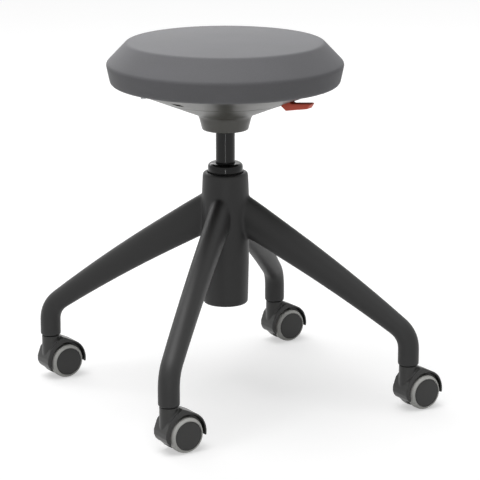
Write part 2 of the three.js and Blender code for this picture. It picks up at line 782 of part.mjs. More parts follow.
// The hood narrows towards its tail, and below its front edge only the keel is left
function hoodGeometry() {
  const body = upright(hoodShape(), hoodWidth, hoodBevel, hoodArcSteps);
  const neckFoot = shoulderShares.at(-1)[1] * castorHeight;
  const neck = turned([
    [0, neckFoot],
    [neckRadius - fitGap, neckFoot],
    [neckRadius - fitGap, castorHeight - hoodCrestDrop],
    [neckRadius, castorHeight - hoodCrestDrop],
    [neckRadius, castorHeight, neckEdge],
    [0, castorHeight],
  ], wheelFacets);
  const depth = hoodWidth / 2 + cutOverrun - keelWidth / 2;
  const skirtLength = castorTrail + hoodWidth / 2;
  const tailLength = castorTrail + fenderOuter - hoodTaperStart;
  const narrowing = Math.atan2((hoodWidth - hoodTailWidth) / 2, tailLength);
  const sideCuts = (side) => {
    const middle = side * (keelWidth + depth) / 2;
    return [
      acrossDisc(fenderInner, depth, castorTrail, axleHeight, wheelFacets).translate(0, middle, 0),
      block(skirtLength, depth, skirtHeight, castorTrail - skirtLength / 2, middle, skirtHeight / 2),
      block(2 * tailLength, hoodWidth, castorHeight, tailLength, side * hoodWidth / 2, castorHeight / 2)
        .rotateZ(-side * narrowing).translate(hoodTaperStart, side * hoodWidth / 2, 0),
    ];
  };
  const stemBore = disc(stemRadius + fitGap, castorHeight - stemGrip - fitGap, castorHeight + cutOverrun);
  const axleBore = acrossDisc(axleRadius + fitGap, keelWidth + 2 * cutOverrun, castorTrail, axleHeight);
  return cut(join(body, neck), ...sideCuts(1), ...sideCuts(-1), stemBore, axleBore);
}

// A wheel half on the +Y side of its castor, with one flat of its tread on the floor
function wheelPiece(corners) {
  const points = roundedPoints([...corners, corners[0].slice(0, 2)], 2);
  return new THREE.LatheGeometry(points, wheelFacets, Math.PI / wheelFacets);
}

function rimGeometry() {
  const rimRadius = capRadius - fitGap;
  const bore = axleRadius + fitGap;
  const boreEnd = wheelSpan - axleEndCover + fitGap;
  return wheelPiece([
    [bore, wheelInset],
    [rimRadius, wheelInset],
    [rimRadius, wheelSpan - capDome],
    [0, wheelSpan],
    [0, boreEnd],
    [bore, boreEnd],
  ]);
}

function tyreGeometry() {
  const shoulder = (wheelRadius + capRadius) / 2;
  return wheelPiece([
    [capRadius, wheelInset],
    [wheelRadius - tyreEdge, wheelInset],
    [wheelRadius, wheelInset + tyreEdge],
    [wheelRadius, treadSpan],
    [shoulder + tyreShoulder, (treadSpan + wheelSpan) / 2 + tyreShoulder],
    [capRadius + tyreEdge, wheelSpan],
    [capRadius, wheelSpan],
  ]);
}

function buildCastor(parent, number, angle) {
  const x = Math.cos(angle) * stemCircle;
  const y = Math.sin(angle) * stemCircle;
  const castor = turnedGroup(parent, castorYaw, x, y);
  addPiece(castor, `castor_stem_${number}`,
    disc(stemRadius, castorHeight - stemGrip, legEnd + stemReach), brightSteel);
  addPiece(castor, `castor_hood_${number}`, hoodGeometry(), darkPlastic);
  addPiece(castor, `castor_axle_${number}`,
    acrossDisc(axleRadius, 2 * (wheelSpan - axleEndCover), castorTrail, axleHeight), brightSteel);
  [["left", 0], ["right", Math.PI]].forEach(([side, turn]) => {
    const wheel = turnedGroup(castor, turn, castorTrail);
    wheel.position.z = axleHeight;
    addPiece(wheel, `wheel_rim_${number}_${side}`, rimGeometry(), darkPlastic);
    addPiece(wheel, `wheel_tyre_${number}_${side}`, tyreGeometry(), greyTyre);
  });
}

const stool = new THREE.Group();
stool.name = "wobble_stool";
const column = turnedGroup(stool, 0, columnX);

buildStarBase(column);
buildColumnTube(column);
buildRod(column);
buildCylinder(column);
buildRubberRing(column);
buildTopPlate(column);
buildShell(column);
buildSeat(column);
addScrews(column, "plate_screw", plateScrewPlaces, plateScrewRadius, plateScrewHead, plateScrewHeadHeight,
  plateUnderside - fitGap, boardBottom + plateScrewBite);
addScrews(column, "shell_screw", shellScrewPlaces, shellScrewRadius, shellScrewHead, shellScrewHeadHeight,
  coneHeight(shellScrewCircle - shellScrewHead) - fitGap, boardBottom + shellScrewBite);
buildLever(column);
for (let i = 0; i < legCount; i++) {
  buildCastor(column, i + 1, legAngle(i));
}

export default stool;
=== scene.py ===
import json
import math

import bmesh
import bpy
from mathutils import Matrix, Vector


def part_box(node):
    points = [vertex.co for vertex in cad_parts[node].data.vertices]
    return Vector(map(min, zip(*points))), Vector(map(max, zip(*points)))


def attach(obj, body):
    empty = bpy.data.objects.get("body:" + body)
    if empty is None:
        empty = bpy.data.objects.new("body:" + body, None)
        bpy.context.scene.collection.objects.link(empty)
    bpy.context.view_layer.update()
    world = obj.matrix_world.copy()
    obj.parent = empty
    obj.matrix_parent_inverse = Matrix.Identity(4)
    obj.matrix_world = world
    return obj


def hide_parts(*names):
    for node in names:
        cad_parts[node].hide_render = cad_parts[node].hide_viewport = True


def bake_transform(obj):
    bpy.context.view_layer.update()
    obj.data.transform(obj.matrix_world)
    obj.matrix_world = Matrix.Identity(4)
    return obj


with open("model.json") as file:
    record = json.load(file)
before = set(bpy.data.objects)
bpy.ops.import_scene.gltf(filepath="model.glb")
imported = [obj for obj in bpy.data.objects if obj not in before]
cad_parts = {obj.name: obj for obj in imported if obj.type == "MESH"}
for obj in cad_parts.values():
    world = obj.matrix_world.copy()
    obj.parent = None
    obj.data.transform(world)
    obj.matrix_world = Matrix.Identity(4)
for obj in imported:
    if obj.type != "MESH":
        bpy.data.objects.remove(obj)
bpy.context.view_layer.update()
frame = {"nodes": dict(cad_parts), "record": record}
MM = 0.001
LOW = 0
HIGH = 1


def level(solid, end):
    """The lowest or highest level of a CAD solid, in millimetres."""
    return round(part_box(solid)[end].z / MM, 3)


# All sizes below are in millimetres. These levels are those of the CAD solids.
AXLE_HEIGHT = (level("castor_axle_1", LOW) + level("castor_axle_1", HIGH)) / 2
CASTOR_TOP = level("castor_hood_1", HIGH)
LEG_END = level("star_base", LOW)
HUB_TOP = level("star_base", HIGH)
TUBE_BOTTOM = level("column_tube", LOW)
TUBE_TOP = level("column_tube", HIGH)
BUSH_BOTTOM = level("guide_bush", LOW)
COLLAR_TOP = level("guide_bush", HIGH)
CYLINDER_BOTTOM = level("gas_cylinder", LOW)
CYLINDER_TOP = level("gas_cylinder", HIGH)
RING_BOTTOM = level("rubber_ring", LOW)
RING_TOP = level("rubber_ring", HIGH)
BELL_BOTTOM = level("under_shell", LOW)
SHELL_TOP = level("under_shell", HIGH)
PADDLE_BOTTOM = level("lever_paddle", LOW)
PADDLE_TOP = level("lever_paddle", HIGH)
BOARD_TOP = level("seat_board", HIGH)
LIP_BOTTOM = level("seat_pad", LOW)
PAD_TOP = level("seat_pad", HIGH)

# The column stands a little beside the frame's origin, which is the middle of the stool's outline
COLUMN_X = round(sum(corner.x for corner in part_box("gas_cylinder")) / 2 / MM, 4)

# Clearance between pieces that touch or slide
FIT_GAP = 0.3

# Hub, column tube and gas cylinder, which fit into each other
HUB_LENGTH = 198
HUB_BOTTOM = HUB_TOP - HUB_LENGTH
HUB_RADIUS = 34.5
TUBE_RADIUS = 25
TUBE_WALL = 1.5
TUBE_BORE = TUBE_RADIUS - TUBE_WALL
CYLINDER_RADIUS = 14

# Under-seat shell: a bell round the cylinder, a short flare and a wide cone out to the rim
SHELL_WALL = 2.5
BELL_RADIUS = 33.4
BELL_TOP_RADIUS = 38.3
BELL_HEIGHT = 19
FLARE_RISE = 3.75
CONE_RADIUS = 41.6
RIM_RADIUS = 153.8
RIM_BAND = 1
BELL_TOP = BELL_BOTTOM + BELL_HEIGHT
CONE_FOOT = BELL_TOP + FLARE_RISE
CONE_SLOPE = (SHELL_TOP - RIM_BAND - CONE_FOOT) / (RIM_RADIUS - CONE_RADIUS)

# The height lever reaches out through the shell in this direction
LEVER_ANGLE = math.radians(-60)

# Legs and castors
LEG_COUNT = 4
LEG_ANGLES = [2 * math.pi * (i + 0.5) / LEG_COUNT for i in range(LEG_COUNT)]
STEM_CIRCLE = 276.5
TRAIL = 19.25
CASTOR_YAW = math.radians(3.3)
HOOD_WIDTH = 35
AXLE_BORE = 4.3
WHEEL_INNER = 7.4
WHEEL_OUTER = 20.8
WHEEL_RADIUS = 25.65
TYRE_BORE = 21

# Facets in a full turn, steps in a rounded corner, and the distance at which corners are welded
BASE_FACETS = 96
COLUMN_FACETS = 72
SHELL_FACETS = 144
PAD_FACETS = 128
LEG_FACETS = 48
NECK_FACETS = 64
SMALL_FACETS = 24
BORE_FACETS = 32
CORNER_STEPS = 5
EDGE_STEPS = 4
WELD = 0.001


def linear(hex_colour):
    """An sRGB hex colour as the linear RGBA that Blender's sockets take."""
    channels = [int(hex_colour[i:i + 2], 16) / 255 for i in (1, 3, 5)]
    return [c / 12.92 if c <= 0.04045 else ((c + 0.055) / 1.055) ** 2.4 for c in channels] + [1.0]


def node(tree, kind, inputs=None, **settings):
    """Adds one node with its settings; an input that is a socket is linked, any other is a value."""
    made = tree.nodes.new(kind)
    for name, value in settings.items():
        setattr(made, name, value)
    for socket, value in (inputs or {}).items():
        if isinstance(value, bpy.types.NodeSocket):
            tree.links.new(value, made.inputs[socket])
        else:
            made.inputs[socket].default_value = value
    return made


def new_material(name):
    material = bpy.data.materials.new(name)
    material.use_nodes = True
    material.node_tree.nodes.clear()
    return material


def finished(material, surface):
    node(material.node_tree, "ShaderNodeOutputMaterial", {"Surface": surface})
    return material


def integral_skin_foam():
    """Polyurethane foam moulded with its own skin: matt, with painted shade that makes the sunken pores of
    its fine grain a little darker.
    """
    # The skin's pores are about 0.5 mm; they are drawn larger so that a few show in the render
    pore = 1.2 * MM
    pore_depth = 0.2 * MM
    cloud = 90 * MM
    material = new_material("integral_skin_polyurethane_foam")
    tree = material.node_tree
    place = node(tree, "ShaderNodeTexCoord").outputs["Object"]
    pores = node(tree, "ShaderNodeTexNoise", {
        "Vector": place, "Scale": 1 / pore, "Detail": 3.0, "Roughness": 0.6,
    })
    clouds = node(tree, "ShaderNodeTexNoise", {"Vector": place, "Scale": 1 / cloud, "Detail": 2.0})
    # Painted shade: the colour darkens where the pore noise sinks the bump, and the clouds add random tone
    pore_shade_and_tone = node(tree, "ShaderNodeMath", {
        0: pores.outputs["Fac"], 1: clouds.outputs["Fac"],
    }, operation="ADD")
    spread = node(tree, "ShaderNodeMapRange", {"Value": pore_shade_and_tone.outputs[0], "From Min": 0.7, "From Max": 1.3})
    colour = node(tree, "ShaderNodeMix", {
        0: spread.outputs[0], 6: linear("#777779"), 7: linear("#7f7f82"),
    }, data_type="RGBA")
    rough = node(tree, "ShaderNodeMapRange", {
        "Value": clouds.outputs["Fac"], "To Min": 0.56, "To Max": 0.68,
    })
    bump = node(tree, "ShaderNodeBump", {
        "Height": pores.outputs["Fac"], "Strength": 0.12, "Distance": pore_depth,
    })
    surface = node(tree, "ShaderNodeBsdfPrincipled", {
        "Base Color": colour.outputs[2], "Roughness": rough.outputs[0], "Normal": bump.outputs[0],
        "IOR": 1.45, "Specular IOR Level": 0.22,
    })
    return finished(material, surface.outputs[0])


def moulded_plastic(name, dark, light, roughness, grain_depth=0.04 * MM, specular=0.5):
    """Injection-moulded plastic with the spark-eroded grain of its mould, faintly mottled in gloss."""
    # The real grain is about 0.1 mm; it is drawn coarser so that it shows in the render
    grain = 0.6 * MM
    flow_mark = 30 * MM
    mottle = 0.05
    material = new_material(name)
    tree = material.node_tree
    place = node(tree, "ShaderNodeTexCoord").outputs["Object"]
    fine = node(tree, "ShaderNodeTexNoise", {"Vector": place, "Scale": 1 / grain, "Detail": 2.0})
    flow = node(tree, "ShaderNodeTexNoise", {
        "Vector": place, "Scale": 1 / flow_mark, "Detail": 3.0, "Distortion": 0.4,
    })
    colour = node(tree, "ShaderNodeMix", {
        0: flow.outputs["Fac"], 6: linear(dark), 7: linear(light),
    }, data_type="RGBA")
    rough = node(tree, "ShaderNodeMapRange", {
        "Value": flow.outputs["Fac"], "To Min": roughness - mottle, "To Max": roughness + mottle,
    })
    bump = node(tree, "ShaderNodeBump", {
        "Height": fine.outputs["Fac"], "Strength": 0.25, "Distance": grain_depth,
    })
    surface = node(tree, "ShaderNodeBsdfPrincipled", {
        "Base Color": colour.outputs[2], "Roughness": rough.outputs[0], "Normal": bump.outputs[0],
        "IOR": 1.45, "Specular IOR Level": specular,
    })
    return finished(material, surface.outputs[0])


def powder_coat():
    """Satin black polyester powder on cast aluminium: an even black with a soft orange-peel ripple."""
    ripple = 1.8 * MM
    ripple_depth = 0.1 * MM
    cast_mark = 40 * MM
    material = new_material("satin_black_powder_coat")
    tree = material.node_tree
    place = node(tree, "ShaderNodeTexCoord").outputs["Object"]
    peel = node(tree, "ShaderNodeTexNoise", {"Vector": place, "Scale": 1 / ripple, "Detail": 1.0})
    cast = node(tree, "ShaderNodeTexNoise", {"Vector": place, "Scale": 1 / cast_mark, "Detail": 3.0})
    colour = node(tree, "ShaderNodeMix", {
        0: cast.outputs["Fac"], 6: linear("#292929"), 7: linear("#2f2f2f"),
    }, data_type="RGBA")
    rough = node(tree, "ShaderNodeMapRange", {"Value": cast.outputs["Fac"], "To Min": 0.46, "To Max": 0.54})
    bump = node(tree, "ShaderNodeBump", {
        "Height": peel.outputs["Fac"], "Strength": 0.2, "Distance": ripple_depth,
    })
    surface = node(tree, "ShaderNodeBsdfPrincipled", {
        "Base Color": colour.outputs[2], "Roughness": rough.outputs[0], "Normal": bump.outputs[0],
        "IOR": 1.48, "Specular IOR Level": 0.42,
    })
    return finished(material, surface.outputs[0])


def drawn_steel_enamel():
    """Black enamel on drawn steel tube: smooth and half gloss, a little uneven in its gloss."""
    haze_size = 50 * MM
    material = new_material("black_enamelled_steel_tube")
    tree = material.node_tree
    place = node(tree, "ShaderNodeTexCoord").outputs["Object"]
    haze = node(tree, "ShaderNodeTexNoise", {"Vector": place, "Scale": 1 / haze_size, "Detail": 3.0})
    colour = node(tree, "ShaderNodeMix", {
        0: haze.outputs["Fac"], 6: linear("#242424"), 7: linear("#282828"),
    }, data_type="RGBA")
    rough = node(tree, "ShaderNodeMapRange", {"Value": haze.outputs["Fac"], "To Min": 0.12, "To Max": 0.16})
    surface = node(tree, "ShaderNodeBsdfPrincipled", {
        "Base Color": colour.outputs[2], "Roughness": rough.outputs[0], "IOR": 1.45,
        "Specular IOR Level": 0.3,
    })
    return finished(material, surface.outputs[0])


def zinc_plated_steel():
    """Turned steel with bright zinc on it: grey, fairly sharp reflections, fine turning marks."""
    # Real turning marks are about 0.2 mm apart; they are drawn coarser so that they show in the render
    turning_mark = 0.8 * MM
    material = new_material("zinc_plated_steel")
    tree = material.node_tree
    place = node(tree, "ShaderNodeTexCoord").outputs["Object"]
    marks = node(tree, "ShaderNodeTexNoise", {"Vector": place, "Scale": 1 / turning_mark, "Detail": 4.0})
    colour = node(tree, "ShaderNodeMix", {
        0: marks.outputs["Fac"], 6: linear("#a9abad"), 7: linear("#c6c8ca"),
    }, data_type="RGBA")
    rough = node(tree, "ShaderNodeMapRange", {"Value": marks.outputs["Fac"], "To Min": 0.25, "To Max": 0.4})
    surface = node(tree, "ShaderNodeBsdfPrincipled", {
        "Base Color": colour.outputs[2], "Roughness": rough.outputs[0], "Metallic": 1.0,
    })
    return finished(material, surface.outputs[0])


def soft_rubber(name, dark, light, roughness):
    """Rubber or soft polyurethane: matt, with the dusty bloom that it gets."""
    bloom_size = 8 * MM
    # The real grain is about 0.1 mm; it is drawn coarser so that it shows in the render
    grain = 0.7 * MM
    grain_depth = 0.1 * MM
    unevenness = 0.08
    material = new_material(name)
    tree = material.node_tree
    place = node(tree, "ShaderNodeTexCoord").outputs["Object"]
    bloom = node(tree, "ShaderNodeTexNoise", {
        "Vector": place, "Scale": 1 / bloom_size, "Detail": 5.0, "Roughness": 0.6,
    })
    fine = node(tree, "ShaderNodeTexNoise", {"Vector": place, "Scale": 1 / grain, "Detail": 2.0})
    colour = node(tree, "ShaderNodeMix", {
        0: bloom.outputs["Fac"], 6: linear(dark), 7: linear(light),
    }, data_type="RGBA")
    rough = node(tree, "ShaderNodeMapRange", {
        "Value": bloom.outputs["Fac"], "To Min": roughness - unevenness, "To Max": roughness + unevenness,
    })
    bump = node(tree, "ShaderNodeBump", {
        "Height": fine.outputs["Fac"], "Strength": 0.2, "Distance": grain_depth,
    })
    surface = node(tree, "ShaderNodeBsdfPrincipled", {
        "Base Color": colour.outputs[2], "Roughness": rough.outputs[0], "Normal": bump.outputs[0],
        "IOR": 1.5,
    })
    return finished(material, surface.outputs[0])


def birch_plywood():
    """Birch plywood: pale veneer with long grain on its faces and thin layers along its edge."""
    grain_length = 60 * MM
    grain_depth = 0.1 * MM
    # At this length the wave's bands lie 8.8 mm apart, which is coarser than the real layers
    layer_wave = 28 * MM
    material = new_material("birch_plywood")
    tree = material.node_tree
    place = node(tree, "ShaderNodeTexCoord").outputs["Object"]
    along = node(tree, "ShaderNodeMapping", {"Vector": place, "Scale": (1.0, 14.0, 30.0)})
    grain = node(tree, "ShaderNodeTexNoise", {
        "Vector": along.outputs[0], "Scale": 1 / grain_length, "Detail": 6.0,
    })
    layers = node(tree, "ShaderNodeTexWave", {
        "Vector": place, "Scale": 1 / layer_wave, "Distortion": 0.3,
    }, bands_direction="Z")
    mixed = node(tree, "ShaderNodeMath", {
        0: grain.outputs["Fac"], 1: layers.outputs["Fac"],
    }, operation="MULTIPLY")
    colour = node(tree, "ShaderNodeMix", {
        0: mixed.outputs[0], 6: linear("#b08e5f"), 7: linear("#d9bd8e"),
    }, data_type="RGBA")
    bump = node(tree, "ShaderNodeBump", {
        "Height": grain.outputs["Fac"], "Strength": 0.3, "Distance": grain_depth,
    })
    surface = node(tree, "ShaderNodeBsdfPrincipled", {
        "Base Color": colour.outputs[2], "Roughness": 0.65, "Normal": bump.outputs[0], "IOR": 1.5,
    })
    return finished(material, surface.outputs[0])


FOAM = integral_skin_foam()
POWDER_COAT = powder_coat()
TUBE_ENAMEL = drawn_steel_enamel()
ZINC = zinc_plated_steel()
PLYWOOD = birch_plywood()
# ABS of the shell: warm grey, with a satin sheen where it mirrors the floor
SHELL_ABS = moulded_plastic("satin_grey_abs", "#4a4944", "#52514c", 0.36, specular=0.66)
# Nylon of the castor hoods and wheel rims: darker, with an even soft gloss
NYLON = moulded_plastic("dark_grey_nylon", "#323231", "#393938", 0.36)
# Acetal of the guide bush: almost without grain, so that it shines like wet paint
ACETAL = moulded_plastic("gloss_black_acetal", "#101010", "#161616", 0.08,
                         grain_depth=0.005 * MM, specular=0.3)
# ABS of the lever's grip: brick red and rather dull
LEVER_ABS = moulded_plastic("brick_red_abs", "#e86450", "#f07058", 0.48, specular=0.4)
# Polyurethane of the tyres: pale grey and matt
TREAD = soft_rubber("grey_polyurethane_tread", "#c4c4c0", "#d0d0cc", 0.62)
# Natural rubber of the ring and the bump stop: black and dull
RUBBER = soft_rubber("black_natural_rubber", "#181818", "#222221", 0.8)


def piece(name, bm, body, material, replaces=(), sharp_from=40):
    """A finished piece from a bmesh in millimetres; it rides on a body, when one is given."""
    bmesh.ops.remove_doubles(bm, verts=bm.verts, dist=WELD)
    bmesh.ops.recalc_face_normals(bm, faces=bm.faces)
    bmesh.ops.scale(bm, vec=(MM, MM, MM), verts=bm.verts)
    mesh = mesh_of(bm, name)
    mesh.materials.append(material)
    mesh.shade_smooth()
    mesh.set_sharp_from_angle(angle=math.radians(sharp_from))
    made = object_of(mesh, name)
    if body:
        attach(made, body)
    if replaces:
        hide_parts(*replaces)
    return made


def mesh_of(bm, name):
    mesh = bpy.data.meshes.new(name)
    bm.to_mesh(mesh)
    bm.free()
    return mesh


def object_of(mesh, name):
    made = bpy.data.objects.new(name, mesh)
    bpy.context.scene.collection.objects.link(made)
    return made


def bmesh_of(mesh):
    bm = bmesh.new()
    bm.from_mesh(mesh)
    return bm


def cutter(bm, name):
    """An object for a Boolean, which discard() takes away after use."""
    bmesh.ops.recalc_face_normals(bm, faces=bm.faces)
    return object_of(mesh_of(bm, name), name)


def discard(shapes):
    for shape in shapes:
        bpy.data.objects.remove(shape)


def united(shapes):
    return [("BOOLEAN", {"object": shape, "operation": "UNION", "solver": "EXACT"}) for shape in shapes]


def cut_by(shapes):
    return [("BOOLEAN", {"object": shape, "operation": "DIFFERENCE", "solver": "EXACT"}) for shape in shapes]


def softened(voxel, rounds):
    """The modifiers that melt joined shapes into one casting: an even fine mesh, then smoothed."""
    return [
        ("REMESH", {"mode": "VOXEL", "voxel_size": voxel, "use_smooth_shade": True}),
        ("SMOOTH", {"factor": 0.5, "iterations": rounds}),
    ]


def baked(bm, name, modifiers):
    """The bmesh that a bmesh becomes under these modifiers: (kind, settings)."""
    shape = cutter(bm, name)
    for kind, settings in modifiers:
        modifier = shape.modifiers.new(kind.title(), kind)
        for key, value in settings.items():
            setattr(modifier, key, value)
    bpy.context.view_layer.update()
    evaluated = shape.evaluated_get(bpy.context.evaluated_depsgraph_get())
    result = bmesh_of(bpy.data.meshes.new_from_object(evaluated))
    discard([shape])
    return result


def shifted(bm, place):
    bmesh.ops.translate(bm, vec=place, verts=bm.verts)
    return bm


def at_column(bm):
    return shifted(bm, (COLUMN_X, 0, 0))


def swung(bm, angle, axis="Z"):
    bmesh.ops.rotate(bm, cent=(0, 0, 0), matrix=Matrix.Rotation(angle, 3, axis), verts=bm.verts)
    return bm


def rounded(bm, edges, radius, steps):
    bmesh.ops.bevel(bm, geom=edges, offset=radius, offset_type="OFFSET", affect="EDGES", segments=steps,
                    profile=0.5, material=-1, clamp_overlap=True)
    return bm


def turned(corners, facets, closed=True):
    """Corners of (radius, height, rounding) turned about Z; each rounding is bevelled on its ring."""
    bm = bmesh.new()
    verts = [bm.verts.new((radius, 0, height)) for radius, height, _ in corners]
    edges = [bm.edges.new(pair) for pair in zip(verts, verts[1:])]
    if closed:
        edges.append(bm.edges.new((verts[-1], verts[0])))
    bmesh.ops.spin(bm, geom=verts + edges, cent=(0, 0, 0), axis=(0, 0, 1), angle=2 * math.pi,
                   steps=facets, use_merge=True)
    bmesh.ops.remove_doubles(bm, verts=bm.verts, dist=WELD)
    bmesh.ops.recalc_face_normals(bm, faces=bm.faces)
    for radius, height, rounding in corners:
        if not rounding:
            continue
        ring = [edge for edge in bm.edges if all(
            abs(vert.co.z - height) < WELD and abs(math.hypot(vert.co.x, vert.co.y) - radius) < WELD
            for vert in edge.verts)]
        rounded(bm, ring, rounding, CORNER_STEPS)
    return bm


def turned_bar(radius, bottom, top, facets):
    return turned([(0, bottom, 0), (radius, bottom, 0), (radius, top, 0), (0, top, 0)], facets, closed=False)


def box_shape(length, width, height, centre):
    bm = bmesh.new()
    bmesh.ops.create_cube(bm, size=1)
    bmesh.ops.scale(bm, vec=(length, width, height), verts=bm.verts)
    return shifted(bm, centre)


def slab(outline, width):
    """An outline of (x, z) points made a slab of this width, half of it on each side of y = 0."""
    bm = bmesh.new()
    face = bm.faces.new([bm.verts.new((x, -width / 2, z)) for x, z in outline])
    grown = bmesh.ops.extrude_face_region(bm, geom=[face])["geom"]
    far_side = [part for part in grown if isinstance(part, bmesh.types.BMVert)]
    bmesh.ops.translate(bm, vec=(0, width, 0), verts=far_side)
    bmesh.ops.recalc_face_normals(bm, faces=bm.faces)
    return bm


def arc(centre, radius, first, last, steps):
    angles = [first + (last - first) * i / steps for i in range(steps + 1)]
    return [(centre[0] + radius * math.cos(a), centre[1] + radius * math.sin(a)) for a in angles]


def rounded_path(corners, steps):
    """Points along corners of (x, z, rounding), each rounded by a quadratic curve of these steps."""
    points = [Vector(corners[0][:2])]
    for before, here, after in zip(corners, corners[1:], corners[2:]):
        corner = Vector(here[:2])
        reach = here[2]
        if not reach:
            points.append(corner)
            continue
        start = corner.lerp(Vector(before[:2]), reach / (corner - Vector(before[:2])).length)
        end = corner.lerp(Vector(after[:2]), reach / (corner - Vector(after[:2])).length)
        for i in range(steps + 1):
            t = i / steps
            points.append(start * (1 - t) ** 2 + corner * 2 * t * (1 - t) + end * t ** 2)
    points.append(Vector(corners[-1][:2]))
    return points


def leg_middle_line(root, corner):
    """How far the leg tapers, and its middle line as (x, z) points from inside the hub to the castor."""
    inner_radius = 8
    straight = 12
    bow_height = 6.4
    bow_share = 0.57
    bow_reach = 98
    bend = 21
    foot_height = 1.2
    steps = 8
    along = (corner - root).normalized()
    up = Vector((-along.y, along.x))
    start = root - along * ((HUB_RADIUS - inner_radius) / along.x)
    straight_end = root + along * straight
    bow = root.lerp(corner, bow_share) + up * bow_height
    taper = (corner - root).length - bend
    return taper, rounded_path([
        (*start, 0), (*straight_end, 0), (*bow, bow_reach), (*corner, bend),
        (STEM_CIRCLE, LEG_END + foot_height, 0), (STEM_CIRCLE, LEG_END, 0),
    ], steps)


def leg_shape():
    """One leg along +X: a tapering oval that bows slightly and bends down to its castor."""
    root_drop = 66.1
    root_height = 55.2
    root_width = 33
    end_diameter = 30.65
    bend_height = 44.9
    foot_edge = 1
    root = Vector((HUB_RADIUS, HUB_TOP - root_drop))
    corner = Vector((STEM_CIRCLE, LEG_END + bend_height))
    taper, line = leg_middle_line(root, corner)
    bm = bmesh.new()
    bmesh.ops.create_circle(bm, cap_ends=False, segments=LEG_FACETS, radius=1)
    ring = list(bm.verts)
    rim = list(bm.edges)
    last = Matrix.Identity(4)
    for i, centre in enumerate(line):
        tangent = (line[min(i + 1, len(line) - 1)] - line[max(i - 1, 0)]).normalized()
        share = min(max((centre - root).length / taper, 0), 1)
        edge = foot_edge if i == len(line) - 1 else 0
        half_height = (root_height + (end_diameter - root_height) * share) / 2 - edge
        half_width = (root_width + (end_diameter - root_width) * share) / 2 - edge
        station = Matrix((
            (-tangent.y * half_height, 0, tangent.x, centre.x),
            (0, half_width, 0, 0),
            (tangent.x * half_height, 0, tangent.y, centre.y),
            (0, 0, 0, 1),
        ))
        if i:
            grown = bmesh.ops.extrude_edge_only(bm, edges=rim)["geom"]
            ring = [part for part in grown if isinstance(part, bmesh.types.BMVert)]
            rim = [part for part in grown if isinstance(part, bmesh.types.BMEdge)
                   and all(vert in ring for vert in part.verts)]
        else:
            bmesh.ops.contextual_create(bm, geom=rim)
        bmesh.ops.transform(bm, matrix=station @ last.inverted(), verts=ring)
        last = station
    bmesh.ops.contextual_create(bm, geom=rim)
    return bm


# Hub and legs are one casting, so their surfaces are melted together
def star_base():
    end_radius = 33
    foot_taper = 63
    top_taper = 35
    foot_round = 3.5
    shoulder_round = 4.5
    ledge = 4
    overrun = 5
    voxel = 1.9
    hub = turned([
        (0, HUB_BOTTOM, 0), (end_radius, HUB_BOTTOM, foot_round), (HUB_RADIUS, HUB_BOTTOM + foot_taper, 0),
        (HUB_RADIUS, HUB_TOP - top_taper, 0), (end_radius, HUB_TOP, shoulder_round), (0, HUB_TOP, 0),
    ], BASE_FACETS, closed=False)
    legs = [cutter(swung(leg_shape(), angle), "leg") for angle in LEG_ANGLES]
    bores = [
        cutter(turned_bar(radius, bottom, HUB_TOP + overrun, COLUMN_FACETS), "hub_bore")
        for radius, bottom in ((TUBE_RADIUS + FIT_GAP, HUB_BOTTOM + ledge), (TUBE_BORE, HUB_BOTTOM - overrun))
    ]
    solid = baked(hub, "star_base_solid", united(legs) + cut_by(bores))
    discard(legs + bores)
    casting = baked(solid, "star_base_soft", softened(voxel, 7))
    piece("star_base_casting", at_column(casting), "base", POWDER_COAT, ["star_base"], 180)


def column_tube():
    rod_hole = 5.3
    floor_top = TUBE_BOTTOM + 2 * TUBE_WALL
    foot_edge = 0.6
    mouth_edge = 0.3
    tube = turned([
        (rod_hole, TUBE_BOTTOM, 0), (TUBE_RADIUS, TUBE_BOTTOM, foot_edge),
        (TUBE_RADIUS, TUBE_TOP, mouth_edge), (TUBE_BORE, TUBE_TOP, mouth_edge),
        (TUBE_BORE, floor_top, 0), (rod_hole, floor_top, 0),
    ], COLUMN_FACETS)
    piece("column_tube_drawn", at_column(tube), "base", TUBE_ENAMEL, ["column_tube"])


# Guide bush: a sleeve inside the tube under the gloss collar with its rounded top
def guide_bush():
    bore = CYLINDER_RADIUS + FIT_GAP
    sleeve = TUBE_BORE - FIT_GAP
    flange = 25.7
    flange_bottom = TUBE_TOP + FIT_GAP
    flange_edge = 0.5
    dome = 6.1
    lip_edge = 0.6
    collar = turned([
        (bore, BUSH_BOTTOM, 0), (sleeve, BUSH_BOTTOM, 0), (sleeve, flange_bottom, 0),
        (flange, flange_bottom, flange_edge), (flange, COLLAR_TOP, dome), (bore, COLLAR_TOP, lip_edge),
    ], COLUMN_FACETS)
    piece("guide_bush_collar", at_column(collar), "base", ACETAL, ["guide_bush"])


# Gas cylinder: open at its foot, tapered at its head, with the valve's bore through its crown
def gas_cylinder():
    bore = 12
    taper_length = 48
    taper_top = 13
    crown = 12
    valve_bore = 4.3
    edge = 0.5
    valve_edge = 0.4
    cylinder = turned([
        (bore, CYLINDER_BOTTOM, 0), (CYLINDER_RADIUS, CYLINDER_BOTTOM, edge),
        (CYLINDER_RADIUS, CYLINDER_TOP - taper_length, 0), (taper_top, CYLINDER_TOP, edge),
        (valve_bore, CYLINDER_TOP, valve_edge), (valve_bore, CYLINDER_TOP - crown, 0),
        (bore, CYLINDER_TOP - crown, 0),
    ], COLUMN_FACETS)
    piece("gas_cylinder_tube", at_column(cylinder), "gas_cylinder", TUBE_ENAMEL,
          ["gas_cylinder"])
